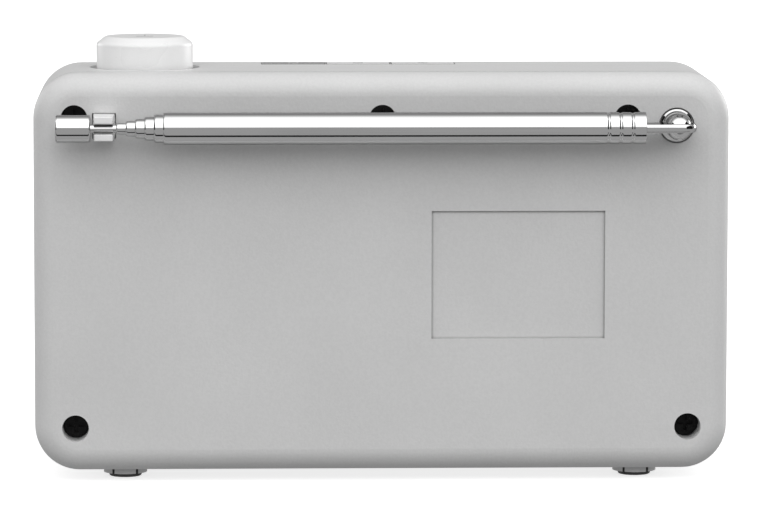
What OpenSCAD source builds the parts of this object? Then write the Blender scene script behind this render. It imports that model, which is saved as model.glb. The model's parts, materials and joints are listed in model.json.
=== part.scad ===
// Small tabletop radio with a push-and-turn knob on top and a telescopic antenna behind.
// +X right, +Y towards the rear, +Z up. The origin is the centre of the footprint, on the ground.

/* [Body] */
// Width of the body
body_w = 154; // [140:1:200]
// Height of the body, without feet and knob
body_h = 88.4; // [80:0.1:120]
// Depth of the body, from the front rim to the rear face
body_d = 44; // [42:1:70]
// Radius of the body's corners, seen from the front
corner_r = 10; // [9:0.1:16]
// Wall thickness of both housings
wall = 2.2; // [1.8:0.1:2.6]
// Depth of the rear cover, from its rear face to the seam
cover_depth = 7; // [6:0.5:9]
// Rounding of the rear cover's edge
rear_round = 5; // [3:0.5:5.5]
// Rounding of the front housing's edge
front_round = 4; // [2.5:0.5:5]
// Width of the open line at the seam
seam_gap = 0.3; // [0.1:0.1:0.6]
// How far the cover's lip reaches into the front housing
lip_depth = 1.5; // [1:0.1:3]

/* [Feet] */
// Height of the body above the ground
foot_h = 2.5; // [2:0.1:6]
// Height of the moulded boss that carries each pad
foot_boss_h = 1.6; // [0.8:0.1:1.8]
// Diameter of the moulded boss
foot_boss_d = 9.7; // [8.5:0.1:14]
// Width of the two slots that split each boss
foot_slot_w = 0.5; // [0.3:0.1:1]
// Diameter of the rubber pad
foot_pad_d = 7.3; // [5:0.1:8]
// Distance of each foot from the middle, sideways
foot_x = 57.1; // [40:0.1:62]
// Distance of each foot from the front and rear faces
foot_inset = 12.5; // [12.5:0.1:15]

/* [Rear screws] */
// Diameter of the screw wells in the rear cover
well_d = 5.9; // [5.7:0.1:7]
// Depth from the rear face to the screw seat
well_depth = 8; // [6:0.5:10]
// Wall of the well tubes
well_wall = 1.2; // [0.8:0.1:1.3]
// Distance of the outer wells from the body's sides
well_inset_x = 9.1; // [8.5:0.1:10]
// Distance of all wells from the body's top and bottom
well_inset_z = 9.8; // [9:0.1:10.5]
// Distance from the turret to the well beside it
well_beside_turret = 10.8; // [10.5:0.1:16]
// Diameter of the screw shanks
screw_d = 2.5; // [2:0.1:3]
// Length of the screw shanks
screw_len = 9; // [6:0.5:12]

/* [Label recess] */
// Width of the recess for the rating label
label_w = 38.4; // [20:0.1:50]
// Height of the recess
label_h = 28.4; // [15:0.1:40]
// Depth of the recess
label_depth = 0.6; // [0.2:0.1:0.8]
// Distance of the recess centre from the middle, towards the turret
label_x = 30.1; // [10:0.1:40]
// Height of the recess centre above the body's underside
label_z = 43.8; // [30:0.1:50]

/* [Knob] */
// Diameter of the knob
knob_d = 21.6; // [20.8:0.1:26]
// Height of the knob's top above the body
knob_h = 7; // [6.6:0.1:12]
// Width of the knob's bevel
knob_bevel = 2; // [0.5:0.1:2.4]
// Height of the knob's bevel
knob_bevel_h = 1.6; // [0.5:0.1:2]
// Distance of the knob's axis from the body's right side
knob_inset_x = 24.4; // [20:0.1:36]
// Distance of the knob's axis from the rear face
knob_from_rear = 23.5; // [21:0.1:26]
// Gap all round between the knob ring and the well's wall
knob_well_gap = 1.1; // [0.5:0.1:2]
// Depth of the knob's well
knob_well_depth = 1.6; // [1.4:0.1:2]
// Height of the white ring above the floor of the knob's well
ring_h = 0.7; // [0.3:0.05:0.8]
// How far the knob can be pushed in
knob_travel = 0.5; // [0.2:0.05:0.5]

/* [Keys] */
// Number of keys on top
key_count = 3; // [3:1:3]
// Distance from one key to the next
key_pitch = 14.7; // [12:0.1:18]
// Visible gap round each key
key_gap = 0.25; // [0.15:0.05:0.4]
// Length of each key, front to rear
key_l = 6; // [5:0.1:7]
// Distance of the keys' centre line from the front
key_from_front = 9.5; // [8.5:0.1:12]
// Distance from the knob's axis to the nearest key's centre
key_from_knob = 33.5; // [26:0.1:40]
// How far the keys stand above the body
key_proud = 0.1; // [0:0.05:1]
// How far a key can be pushed in
key_travel = 0.5; // [0.2:0.05:0.7]

/* [Antenna] */
// Distance of the antenna's axis behind the rear face
antenna_out = 7; // [6:0.1:10]
// Distance of the turret from the body's left side
turret_inset_x = 12; // [10:0.1:16]
// Distance of the turret below the body's top
turret_inset_z = 11.5; // [10:0.1:13]
// Diameter of the turret's flange
turret_d = 7.2; // [6.4:0.1:8]
// Outer diameters of the seven sections, widest first
section_d = [7, 6.2, 5.2, 4.3, 3.4, 2.5, 1.8];
// Length of the widest section
main_len = 105.7; // [95:0.1:112]
// Length of each step that shows when stowed
step_len = 2.05; // [1.5:0.05:3]
// Length of thin rod that shows when stowed
rod_show = 5.7; // [5:0.1:7]
// Diameter of the end cap
cap_d = 6; // [4:0.1:7]
// Length of the end cap
cap_len = 7.6; // [5:0.1:10]
// How far each section pulls out
section_travel = 90; // [60:1:90]
// Distance from the tilt pin to the tube's end
tongue_len = 7.5; // [6.5:0.1:10]
// Thickness of the flat tongue
tongue_t = 1.9; // [1.2:0.1:2.2]
// Diameter of the tilt pin
tilt_pin_d = 1.6; // [1:0.1:2]

/* [Speaker and display] */
// Diameter of the speaker's flange
speaker_d = 57; // [50:1:62]
// Distance of the speaker's axis from the middle
speaker_x = 34; // [30:0.5:45]
// Depth of the speaker behind the baffle
speaker_depth = 20; // [14:0.5:22]
// Diameter of each hole in the grille
grille_hole_d = 2; // [1.4:0.1:2.4]
// Distance between rings of grille holes
grille_pitch = 3.6; // [3:0.1:5]
// Rings of holes round the centre one
grille_rings = 6; // [3:1:6]
// Width of the display window
display_w = 46; // [36:0.5:50]
// Height of the display window
display_h = 34; // [24:0.5:40]
// Distance of the display's centre from the middle
display_x = 36; // [32:0.5:40]

/* [Battery] */
// Diameter of the battery cell
cell_d = 18.4; // [14:0.1:19]
// Length of the battery cell
cell_len = 65; // [50:0.5:66]

/* [Hidden] */
$fn = 64;

eps = 0.01;
fit = 0.05;             // running clearance, on the radius
slip = 0.1;             // clearance between pieces that sit still
over = 1;               // how far a cutter runs past a face

// Planes of the body
main_r = section_d[0] / 2;
front_y = -(body_d + antenna_out + main_r) / 2;
rear_y = front_y + body_d;
seam_y = rear_y - cover_depth;
cover_inside = rear_y - wall;
seam_edge = 0.25;       // bevel on the cover's edge at the seam
base_z = foot_h;
top_z = foot_h + body_h;
mid_z = foot_h + body_h / 2;
side_x = body_w / 2;
inner_w = body_w - 2 * wall;
inner_h = body_h - 2 * wall;

// Front: a recess for the panel, and the baffle behind it
panel_t = 1.4;
panel_sink = 0.2;
panel_rim = 8;          // width of the housing's rim round the panel
panel_r = 6;
baffle_t = 1.8;
baffle_y = front_y + panel_sink + panel_t;
baffle_back = baffle_y + baffle_t;
cloth_t = 0.4;

// Rear screws
foot_slot_x = 0.36 * foot_pad_d;
well_floor = 1.4;
seat_y = rear_y - well_depth;
boss_y = seat_y - well_floor - slip;
boss_len = 13;
boss_r = 3.4;
turret_x = -(side_x - turret_inset_x);
turret_z = top_z - turret_inset_z;
well_x = side_x - well_inset_x;
well_top_z = top_z - well_inset_z;
well_low_z = base_z + well_inset_z;
wells = [
  [well_x, well_top_z], [0, well_top_z], [turret_x + well_beside_turret, well_top_z],
  [well_x, well_low_z], [-well_x, well_low_z],
];
head_d = well_d - 0.3;
head_h = 1.8;

// Knob and encoder, from the top down
knob_x = side_x - knob_inset_x;
knob_y = rear_y - knob_from_rear;
ring_d = knob_d + 0.8;
knob_well_d = ring_d + 2 * knob_well_gap;
ring_bore = ring_d - 1.6;
well_bed_z = top_z - knob_well_depth;
bed_t = 2.2;
bed_rim = 1.5;
bed_low_z = well_bed_z - bed_t;
knob_low_z = well_bed_z + ring_h + knob_travel + slip;
knob_top_z = top_z + knob_h;
skirt_d = ring_bore - 0.8;
skirt_low_z = well_bed_z + knob_travel + slip;
knob_hollow_d = skirt_d - 2.4;
knob_roof = 1.6;
shaft_d = 6;
hub_d = 9;
encoder_bush_d = 7;
encoder_nut_h = 1.8;
encoder_bush_z = well_bed_z + encoder_nut_h + 0.4;
encoder_w = 12.6;
encoder_h = 6.4;
encoder_low_z = bed_low_z - encoder_h;
collar_d = 7.8;
collar_h = 1;
collar_z = bed_low_z - 2.2;
plunger_h = 0.9;
plunger_stub_d = 3;
encoder_wall = 0.8;
encoder_floor = 1.6;
encoder_port_d = 5.4;
dome_d = 5;
dome_h = 0.4;
board_t = 1.2;
encoder_board_size = [22, 18];
nut_corner_d = 11.5;

// Keys
key_w = key_pitch - 2 * key_gap - 0.1;
key_y = front_y + key_from_front;
function key_x(i) = knob_x - key_from_knob - i * key_pitch;
key_skirt_z = top_z - wall - slip;
key_skirt_h = 0.8;
key_skirt = 0.7;
switch_drop = 7;
switch_top_z = top_z - switch_drop;
switch_h = 3.5;
switch_w = 6;
stem_d = 3.2;
stem_in = 0.8;
key_board_z = switch_top_z - switch_h;
key_board_l = 9;

// Antenna
antenna_y = rear_y + antenna_out;
sections = len(section_d);
tube_start = turret_x + tongue_len;
function mouth(i) = tube_start + main_len + (i - 1) * step_len;
lip_len = 2;
foot_len = 3;
foot_step = 0.1;
plug_len = 9.5;
plug_d = 5.7;
function tail(i) = i == 1 ? tube_start : tube_start + plug_len + i - 1;
function section_r(i) = section_d[i - 1] / 2;
rod_end = mouth(sections - 1) + rod_show;
groove_r = 0.3;
groove_pitch = 2.65;
slot_play = 0.05;
tongue_r = main_r + 0.6; // round end of the tongue
fork_d = 5.6;
swivel_d = 3.4;
bush_d = 5;
bush_flange_d = 7;
bush_flange_t = 0.6;
turret_sink = 0.8;
turret_proud = 0.6;
turret_recess_d = turret_d + 0.7;
bush_len = 8;
bush_end_y = rear_y - bush_len;
pad_inside = cover_inside - turret_sink;
tag_t = 0.4;
tag_d = 8;
tag_arm = [2.4, 9];
bush_nut_t = 2;
bush_nut_d = 8;
washer_t = 0.8;
washer_d = 6.4;

// Antenna clip on the thin rod
rod_r = section_r(sections);
rod_room = 0.25;
clip_w = 5;
clip_tip_w = 4.1;       // the prongs narrow to this at their tips
clip_x = mouth(sections - 1) + rod_show / 2;
clip_top = 1.6;
clip_low = 1.5;
clip_mid = (clip_top - clip_low) / 2;
clip_span = clip_top + clip_low + 2 * (rod_r + rod_room);
clip_throat = 3;        // from the rod's axis to the bridge between the prongs
clip_top_nose = 1.2;    // how far each prong reaches past the rod
clip_low_nose = 0.7;
clip_end_y = antenna_y + rod_r + clip_top_nose;
clip_grip = 2;          // how far the base reaches past the slot, up and down
clip_base_t = 1.2;

// Speaker
speaker_z = mid_z;
speaker_flange_t = 1;
magnet_d = 30;
magnet_h = 7;
cone_d = speaker_d - 7;
clamp_circle = speaker_d + 7;

// Display
display_z = mid_z + 2;
lens_play = 0.1;
module_t = 3;
module_margin = 3;
display_board_y = baffle_back + module_t + 3 * slip;
display_board_margin = 5;
ribbon_w = 16;
ribbon_t = 0.3;

// Boards
main_board_y = baffle_back + 18;
main_board_t = 1.6;
lead_d = 1.1;
board_x0 = 14;
board_x1 = 60;
board_low = base_z + 13;
board_high = top_z - 19;
hole_inset = 4;
board_holes = [
  [board_x0 + hole_inset, board_low + hole_inset], [board_x1 - hole_inset, board_low + hole_inset],
  [board_x0 + hole_inset, board_high - hole_inset], [board_x1 - hole_inset, board_high - hole_inset],
];
wing_x = side_x - wall - 1.2;
wing_low = base_z + 22;
wing_high = base_z + 58;
socket_y = main_board_y + main_board_t;
usb_z = base_z + 30;
usb_h = 9;
usb_t = 3.2;
jack_z = base_z + 47;
jack_bore = 3.6;
jack_nose_d = 6;
jack_y = socket_y + 3.2;
jack_len = 12;

// Battery
holder_wall = 1.2;
holder_grip = 0.62;     // share of the cell's diameter that the walls cover
cell_room = 0.6;
holder_x = -26;
contact_room = 2.2;
holder_in = cell_len + 2 * contact_room;
cell_y = baffle_back + 21;
cell_z = base_z + wall + holder_wall + cell_room + cell_d / 2;

white = [0.93, 0.93, 0.94];
shell = [0.76, 0.77, 0.77];
metal = [0.85, 0.86, 0.88];
dark = [0.08, 0.08, 0.09];
board_green = [0.1, 0.35, 0.2];

// ---------- shared shapes ----------

// Turns a shape drawn in X and Y so that Y points down and its height runs along +Y.
module along_y(y = 0) {
  translate([0, y, 0]) rotate([-90, 0, 0]) children();
}

module along_x(x = 0, y = 0, z = 0) {
  translate([x, y, z]) rotate([0, 90, 0]) children();
}

// Sweeps a profile round a rounded rectangle. The profile's X is the distance outward
// from the corner centres, and its Y is the place along the body's depth.
module rim_sweep(w, h, r) {
  half = [w / 2 - r, h / 2 - r];
  translate([0, 0, mid_z]) rotate([-90, 0, 0]) for (k = [0:3]) {
    across = half[k % 2];
    along = half[(k + 1) % 2];
    rotate(90 * k) {
      translate([across, along, 0]) rotate_extrude(angle = 90) children();
      translate([across, along, 0]) rotate([90, 0, 0]) linear_extrude(2 * along) children();
    }
  }
}

module rounded_plate(w, h, r, t) {
  linear_extrude(t) {
    square([w - 2 * r, h], center = true);
    square([w, h - 2 * r], center = true);
    for (sx = [-1, 1], sy = [-1, 1]) translate([sx * (w / 2 - r), sy * (h / 2 - r)]) circle(r);
  }
}

// Box given by its centre in X and Z, and by where it starts and ends in Y.
module slab(x, z, w, h, y0, y1) {
  translate([x - w / 2, y0, z - h / 2]) cube([w, y1 - y0, h]);
}

module rod_y(x, z, d, y0, y1) {
  translate([x, y0, z]) rotate([-90, 0, 0]) cylinder(d = d, h = y1 - y0);
}

module rod_z(x, y, d, z0, z1) {
  translate([x, y, z0]) cylinder(d = d, h = z1 - z0);
}

module rod_x(y, z, d, x0, x1) {
  translate([x0, y, z]) rotate([0, 90, 0]) cylinder(d = d, h = x1 - x0);
}

// Round wire through a list of points, with a ball of solder-sleeve size at each bend.
module wire(points, d) {
  for (i = [0:len(points) - 2]) {
    a = points[i];
    v = points[i + 1] - a;
    translate(a) rotate([0, acos(v[2] / norm(v)), atan2(v[1], v[0])])
      cylinder(d = d, h = norm(v), $fn = 24);
  }
  for (i = [1:len(points) - 2]) translate(points[i]) sphere(d = d * 1.3, $fn = 24);
}

// Cross-head screw along Y, its head towards +Y, with the head's underside at the origin.
module screw_y(shank_d, shank_len, screw_head_d, screw_head_h) {
  rotate([-90, 0, 0]) difference() {
    union() {
      translate([0, 0, -shank_len]) cylinder(d = shank_d, h = shank_len);
      cylinder(d = screw_head_d, h = screw_head_h);
    }
    translate([0, 0, screw_head_h]) for (a = [0, 90])
      rotate(a) cube([screw_head_d * 0.62, 0.8, 2], center = true);
  }
}

// ---------- housings ----------

module rear_profile() {
  shift = corner_r - rear_round;
  start = seam_y + seam_gap / 2;
  difference() {
    intersection() {
      union() {
        translate([0, start]) square([corner_r, rear_y - rear_round - start]);
        translate([0, start]) square([shift, rear_y - start]);
        translate([shift, rear_y - rear_round]) circle(rear_round);
      }
      translate([0, start]) square([corner_r, body_d]);
    }
    translate([-over, seam_y - over]) square([corner_r - wall + over, cover_depth - rear_round + over]);
    translate([-over, seam_y - over]) square([shift + over, cover_depth - wall + over]);
    translate([shift, rear_y - rear_round]) circle(rear_round - wall);
    translate([corner_r, start]) rotate(45) square(seam_edge * sqrt(2), center = true);
  }
}

// Inner half of the wall, which carries the lip across the seam
module lip_profile(play, y0, y1) {
  translate([corner_r - wall - eps, y0]) square([wall / 2 - play + eps, y1 - y0]);
}

module rear_cover() {
  color(shell) difference() {
    union() {
      rim_sweep(body_w, body_h, corner_r) rear_profile();
      rim_sweep(body_w, body_h, corner_r)
        lip_profile(slip, seam_y - lip_depth, seam_y + seam_gap);
      slab(0, mid_z, body_w - 2 * corner_r, body_h - 2 * corner_r, rear_y - wall, rear_y);
      for (p = wells) rod_y(p[0], p[1], well_d + 2 * well_wall, seat_y - well_floor, rear_y - wall / 2);
      rod_y(turret_x, turret_z, turret_recess_d + 2 * well_wall, pad_inside, rear_y - wall / 2);
    }
    for (p = wells) {
      rod_y(p[0], p[1], well_d, seat_y, rear_y + over);
      rod_y(p[0], p[1], screw_d + 0.5, seat_y - well_floor - over, seat_y + over);
    }
    slab(-label_x, base_z + label_z, label_w, label_h, rear_y - label_depth, rear_y + over);
    rod_y(turret_x, turret_z, turret_recess_d, rear_y - turret_sink, rear_y + over);
    rod_y(turret_x, turret_z, bush_d + 2 * slip, seam_y, rear_y);
    slab(clip_x, turret_z + clip_mid, clip_w + 2 * slip, clip_span + 2 * slip, seam_y, rear_y + over);
  }
}

module front_profile() {
  shift = corner_r - front_round;
  seam = seam_y - seam_gap / 2;
  difference() {
    union() {
      translate([0, front_y + front_round]) square([corner_r, seam - front_y - front_round]);
      translate([0, front_y]) square([shift, seam - front_y]);
      translate([shift, front_y + front_round]) circle(front_round);
    }
    translate([-over, baffle_back]) square([corner_r - wall + over, body_d]);
  }
}

module foot_at(k) {
  sx = k % 2 == 0 ? 1 : -1;
  foot_y = k < 2 ? rear_y - foot_inset : front_y + foot_inset;
  translate([sx * foot_x, foot_y, 0]) children();
}

// Screw pillar with a rib to the nearest long wall
module pillar(p) {
  up = p[1] > mid_z ? 1 : -1;
  wall_z = up > 0 ? top_z - wall / 2 : base_z + wall / 2;
  rod_y(p[0], p[1], 2 * boss_r, boss_y - boss_len, boss_y);
  translate([p[0] - 0.75, boss_y - boss_len, min(p[1], wall_z)])
    cube([1.5, boss_len, abs(wall_z - p[1])]);
}

// Thicker bed under the knob's well, kept in front of the cover's lip
module knob_bed() {
  lip_front = seam_y - lip_depth - slip;
  intersection() {
    rod_z(knob_x, knob_y, knob_well_d + 2 * bed_rim, bed_low_z, top_z - wall / 2);
    translate([knob_x - knob_well_d, lip_front - body_d, bed_low_z - over])
      cube([2 * knob_well_d, body_d, 2 * knob_well_depth + bed_t + over]);
  }
}

module front_housing() {
  panel_w = body_w - 2 * panel_rim;
  panel_h = body_h - 2 * panel_rim;
  color(shell) difference() {
    union() {
      difference() {
        union() {
          rim_sweep(body_w, body_h, corner_r) front_profile();
          slab(0, mid_z, body_w - 2 * corner_r, body_h - 2 * corner_r, front_y, baffle_back);
        }
        rim_sweep(body_w, body_h, corner_r)
          lip_profile(0, seam_y - lip_depth - slip, seam_y + over);
        translate([0, baffle_y, mid_z]) rotate([90, 0, 0])
          rounded_plate(panel_w, panel_h, panel_r, panel_t + panel_sink + over);
      }
      for (k = [0:3]) foot_at(k)
        rod_z(0, 0, foot_boss_d, base_z - foot_boss_h, base_z + wall / 2);
      for (p = wells) pillar(p);
      knob_bed();
      for (a = [45:90:315]) rod_y(
        -speaker_x + clamp_circle / 2 * cos(a), speaker_z + clamp_circle / 2 * sin(a),
        5, baffle_back - eps, baffle_back + 4
      );
    }
    for (p = wells) rod_y(p[0], p[1], screw_d + slip, boss_y - boss_len - over, boss_y + over);
    for (k = [0:3]) foot_at(k) rod_z(0, 0, foot_pad_d + 2 * slip, 0, base_z - foot_boss_h + 0.8);
    for (k = [0:3], side = [-1, 1]) foot_at(k)
      translate([side * foot_slot_x - foot_slot_w / 2, -foot_boss_d, base_z - foot_boss_h - over])
        cube([foot_slot_w, 2 * foot_boss_d, foot_boss_h + over]);
    rod_z(knob_x, knob_y, knob_well_d, well_bed_z, top_z + over);
    rod_z(knob_x, knob_y, encoder_bush_d + 2 * slip, bed_low_z - over, well_bed_z + over);
    for (i = [0:key_count - 1]) translate([key_x(i), key_y, top_z])
      cube([key_w + 2 * key_gap, key_l + 2 * key_gap, 2 * wall + over], center = true);
    rod_y(-speaker_x, speaker_z, cone_d + 1, front_y, baffle_back + over);
    rod_y(-speaker_x, speaker_z, speaker_d - 2, baffle_y - eps, baffle_y + cloth_t + slip);
    slab(display_x, display_z, display_w, display_h, front_y, baffle_back + over);
    for (a = [45:90:315]) rod_y(
      -speaker_x + clamp_circle / 2 * cos(a), speaker_z + clamp_circle / 2 * sin(a),
      1.8, baffle_back, baffle_back + 5
    );
    translate([side_x - wall - over, socket_y - slip, usb_z - usb_h / 2 - 0.4])
      cube([wall + 2 * over, usb_t + 0.6, usb_h + 0.8]);
    rod_x(jack_y, jack_z, jack_nose_d + 2 * slip, side_x - wall - over, side_x + over);
  }
}

module front_panel() {
  w = body_w - 2 * panel_rim - 2 * slip;
  h = body_h - 2 * panel_rim - 2 * slip;
  color(white) translate([0, baffle_y, mid_z]) rotate([90, 0, 0]) difference() {
    rounded_plate(w, h, panel_r, panel_t);
    translate([-speaker_x, speaker_z - mid_z, -over]) linear_extrude(panel_t + 2 * over) {
      circle(d = grille_hole_d, $fn = 24);
      for (ring = [1:grille_rings], k = [0:6 * ring - 1])
        rotate(k * 60 / ring) translate([ring * grille_pitch, 0]) circle(d = grille_hole_d, $fn = 24);
    }
    translate([display_x - display_w / 2, display_z - mid_z - display_h / 2, -over])
      cube([display_w, display_h, panel_t + 2 * over]);
  }
}

module speaker_cloth() {
  color(dark) rod_y(-speaker_x, speaker_z, speaker_d - 2.4, baffle_y + slip, baffle_y + slip + cloth_t);
}

module display_window() {
  w = display_w - 2 * lens_play;
  h = display_h - 2 * lens_play;
  color([0.12, 0.13, 0.15, 0.6])
    slab(display_x, display_z, w, h, baffle_y - panel_t, baffle_y + baffle_t - 0.4);
}

module rubber_feet() {
  color(dark) for (k = [0:3]) foot_at(k) {
    cylinder(d1 = foot_pad_d - 0.6, d2 = foot_pad_d, h = 0.3);
    rod_z(0, 0, foot_pad_d, 0.3, base_z - foot_boss_h + 0.7);
  }
}

module cover_screws() {
  color(dark) for (p = wells) translate([p[0], seat_y, p[1]])
    screw_y(screw_d, screw_len, head_d, head_h);
}

// ---------- antenna clip ----------

module antenna_clip() {
  color(white) difference() {
    union() {
      intersection() {
        translate([clip_x - clip_w / 2, 0, turret_z]) rotate([90, 0, 90])
          linear_extrude(clip_w) clip_outline();
        translate([clip_x, 0, turret_z - clip_span]) linear_extrude(2 * clip_span) polygon([
          [-clip_w / 2, seam_y], [clip_w / 2, seam_y], [clip_w / 2, rear_y], [clip_tip_w / 2, clip_end_y],
          [-clip_tip_w / 2, clip_end_y], [-clip_w / 2, rear_y],
        ]);
      }
      slab(
        clip_x, turret_z + clip_mid, clip_w, clip_span + 2 * clip_grip,
        cover_inside - slip - clip_base_t, cover_inside - slip
      );
    }
    rod_y(well_x, well_top_z, well_d + 2 * well_wall + 4 * slip, seat_y, rear_y);
  }
}

// The clip seen from its side, with the rod's centre at Y = antenna_y and Z = 0
module clip_outline() {
  seat_r = rod_r + rod_room;
  low = clip_mid - clip_span / 2;
  inner = cover_inside - clip_base_t;
  difference() {
    translate([0, low]) {
      translate([inner, 0]) square([antenna_y - clip_throat - inner, clip_span]);
      translate([rear_y, 0]) square([antenna_out + rod_r + clip_low_nose, clip_low]);
      translate([rear_y, clip_span - clip_top]) square([antenna_out + rod_r + clip_top_nose, clip_top]);
    }
    translate([antenna_y, 0]) circle(seat_r);
    translate([antenna_y, -seat_r]) square([seat_r, 2 * seat_r]);
    translate([rear_y - over, -seat_r]) square([antenna_out - clip_throat - over, 2 * seat_r]);
  }
}

// ---------- knob and encoder ----------

module knob_ring() {
  color(white) translate([knob_x, knob_y, 0]) difference() {
    rod_z(0, 0, ring_d, well_bed_z, well_bed_z + ring_h);
    rod_z(0, 0, ring_bore, well_bed_z - over, well_bed_z + ring_h + over);
  }
}

module tuning_knob() {
  r = knob_d / 2;
  roof_z = knob_top_z - knob_roof;
  hub_z = encoder_bush_z + knob_travel + 0.2;
  color(white) translate([knob_x, knob_y, 0]) difference() {
    rotate_extrude() polygon([
      [0, roof_z - eps], [0, knob_top_z], [r - knob_bevel, knob_top_z],
      [r, knob_top_z - knob_bevel_h], [r, knob_low_z + 0.2], [r - 0.2, knob_low_z],
      [skirt_d / 2, knob_low_z], [skirt_d / 2, skirt_low_z], [knob_hollow_d / 2, skirt_low_z],
      [knob_hollow_d / 2, roof_z], [hub_d / 2, roof_z], [hub_d / 2, hub_z],
      [shaft_d / 2 + 0.02, hub_z], [shaft_d / 2 + 0.02, roof_z - eps],
    ]);
  }
}

module encoder_shaft() {
  color(metal) translate([knob_x, knob_y, 0]) rotate_extrude() polygon([
    [0, collar_z], [collar_d / 2, collar_z], [collar_d / 2, collar_z + collar_h],
    [shaft_d / 2, collar_z + collar_h], [shaft_d / 2, knob_top_z - knob_roof - 0.6],
    [shaft_d / 2 - 0.4, knob_top_z - knob_roof - 0.2], [0, knob_top_z - knob_roof - 0.2],
  ]);
}

module encoder_plunger() {
  plate_z = collar_z - 0.02 - plunger_h;
  color(dark) {
    rod_z(knob_x, knob_y, collar_d - 0.4, plate_z, plate_z + plunger_h);
    rod_z(knob_x, knob_y, plunger_stub_d, encoder_low_z + 1, plate_z + eps);
  }
}

module encoder_dome() {
  color(metal) difference() {
    rod_z(knob_x, knob_y, dome_d, encoder_low_z, encoder_low_z + dome_h);
    rod_z(knob_x, knob_y, dome_d - 0.6, encoder_low_z - over, encoder_low_z + dome_h - 0.15);
  }
}

module encoder_body() {
  color(metal) difference() {
    translate([knob_x - encoder_w / 2, knob_y - encoder_w / 2, encoder_low_z])
      cube([encoder_w, encoder_w, encoder_h]);
    rod_z(knob_x, knob_y, collar_d + 2 * slip, encoder_low_z + encoder_floor, bed_low_z - encoder_wall);
    rod_z(knob_x, knob_y, encoder_port_d, encoder_low_z - over, encoder_low_z + encoder_h / 2);
    rod_z(knob_x, knob_y, shaft_d + 2 * fit, bed_low_z - encoder_h / 2, bed_low_z + over);
  }
}

module encoder_bush() {
  color(metal) difference() {
    rod_z(knob_x, knob_y, encoder_bush_d, bed_low_z, encoder_bush_z);
    rod_z(knob_x, knob_y, shaft_d + 2 * fit, bed_low_z - over, encoder_bush_z + over);
  }
}

module encoder_nut() {
  color(metal) translate([knob_x, knob_y, well_bed_z]) difference() {
    cylinder(d = nut_corner_d, h = encoder_nut_h, $fn = 6);
    translate([0, 0, -over]) cylinder(d = encoder_bush_d + 0.04, h = encoder_nut_h + 2 * over);
  }
}

module encoder_board() {
  w = encoder_board_size[0];
  l = encoder_board_size[1];
  color(board_green) translate([knob_x - w / 2, knob_y - l / 2, encoder_low_z - board_t])
    cube([w, l, board_t]);
}

// ---------- keys ----------

module key(i, tint) {
  color(tint) translate([key_x(i), key_y, 0]) {
    translate([-key_w / 2, -key_l / 2, key_skirt_z - eps])
      cube([key_w, key_l, top_z + key_proud - key_skirt_z + eps]);
    translate([-key_w / 2, -key_l / 2 - key_skirt, key_skirt_z - key_skirt_h])
      cube([key_w, key_l + 2 * key_skirt, key_skirt_h]);
    rod_z(0, 0, stem_d, switch_top_z - stem_in, key_skirt_z - key_skirt_h + eps);
  }
}

module key_switches() {
  color(dark) for (i = [0:key_count - 1]) difference() {
    translate([key_x(i) - switch_w / 2, key_y - switch_w / 2, key_board_z])
      cube([switch_w, switch_w, switch_h]);
    rod_z(key_x(i), key_y, stem_d + 2 * slip, switch_top_z - stem_in - key_travel - 0.3, switch_top_z + over);
  }
}

module key_board() {
  span = (key_count - 1) * key_pitch + 2 * switch_w;
  x0 = key_x(key_count - 1) - switch_w;
  color(board_green) translate([x0, key_y - key_board_l / 2, key_board_z - board_t])
    cube([span, key_board_l, board_t]);
}

// ---------- antenna ----------

module antenna_bush() {
  color(metal) difference() {
    union() {
      rod_y(turret_x, turret_z, bush_flange_d, rear_y - turret_sink, rear_y - turret_sink + bush_flange_t);
      rod_y(turret_x, turret_z, bush_d, bush_end_y, rear_y - turret_sink + eps);
    }
    rod_y(turret_x, turret_z, swivel_d + 2 * fit, bush_end_y - over, rear_y);
  }
}

module solder_tag() {
  color(metal) difference() {
    union() {
      rod_y(turret_x, turret_z, tag_d, pad_inside - tag_t, pad_inside);
      slab(turret_x + 2, turret_z - 2 - tag_arm[1] / 2, tag_arm[0], tag_arm[1],
        pad_inside - tag_t, pad_inside);
    }
    rod_y(turret_x, turret_z, bush_d + 2 * slip, pad_inside - over, pad_inside + over);
  }
}

module bush_nut() {
  color(metal) translate([turret_x, pad_inside - tag_t - bush_nut_t, turret_z])
    rotate([-90, 0, 0]) difference() {
    cylinder(d = bush_nut_d, h = bush_nut_t, $fn = 6);
    translate([0, 0, -over]) cylinder(d = bush_d + 0.04, h = bush_nut_t + 2 * over);
  }
}

module antenna_turret() {
  fork_r = fork_d / 2;
  neck_r = fork_r - 0.3;
  flange_low = rear_y - turret_sink + bush_flange_t + fit;
  flange_top = rear_y + turret_proud;
  flange_edge = 0.35;
  dome_y = antenna_y - 0.9;
  slot_y = antenna_y - tongue_r - 2 * slip;
  rivet_y = bush_end_y - slip - washer_t;
  rivet_r = swivel_d / 2 + 0.5;
  rivet_t = 0.6;
  color(metal) difference() {
    translate([turret_x, 0, turret_z]) rotate([-90, 0, 0]) rotate_extrude() {
      polygon([
        [0, rivet_y - rivet_t], [rivet_r, rivet_y - rivet_t], [rivet_r, rivet_y],
        [swivel_d / 2, rivet_y], [swivel_d / 2, flange_low], [turret_d / 2, flange_low],
        [turret_d / 2, flange_top - flange_edge], [turret_d / 2 - flange_edge, flange_top],
        [neck_r, flange_top], [neck_r, flange_top + 0.7], [fork_r, flange_top + 1],
        [fork_r, dome_y], [0, dome_y],
      ]);
      intersection() {
        translate([0, dome_y]) circle(fork_r);
        translate([0, dome_y - eps]) square([fork_r, fork_r + over]);
      }
    }
    slab(turret_x, turret_z, fork_d + 2, tongue_t + 2 * slot_play, slot_y, antenna_y + fork_d);
    rod_z(turret_x, antenna_y, tilt_pin_d + 0.02, turret_z - fork_d, turret_z + fork_d);
  }
}

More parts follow.
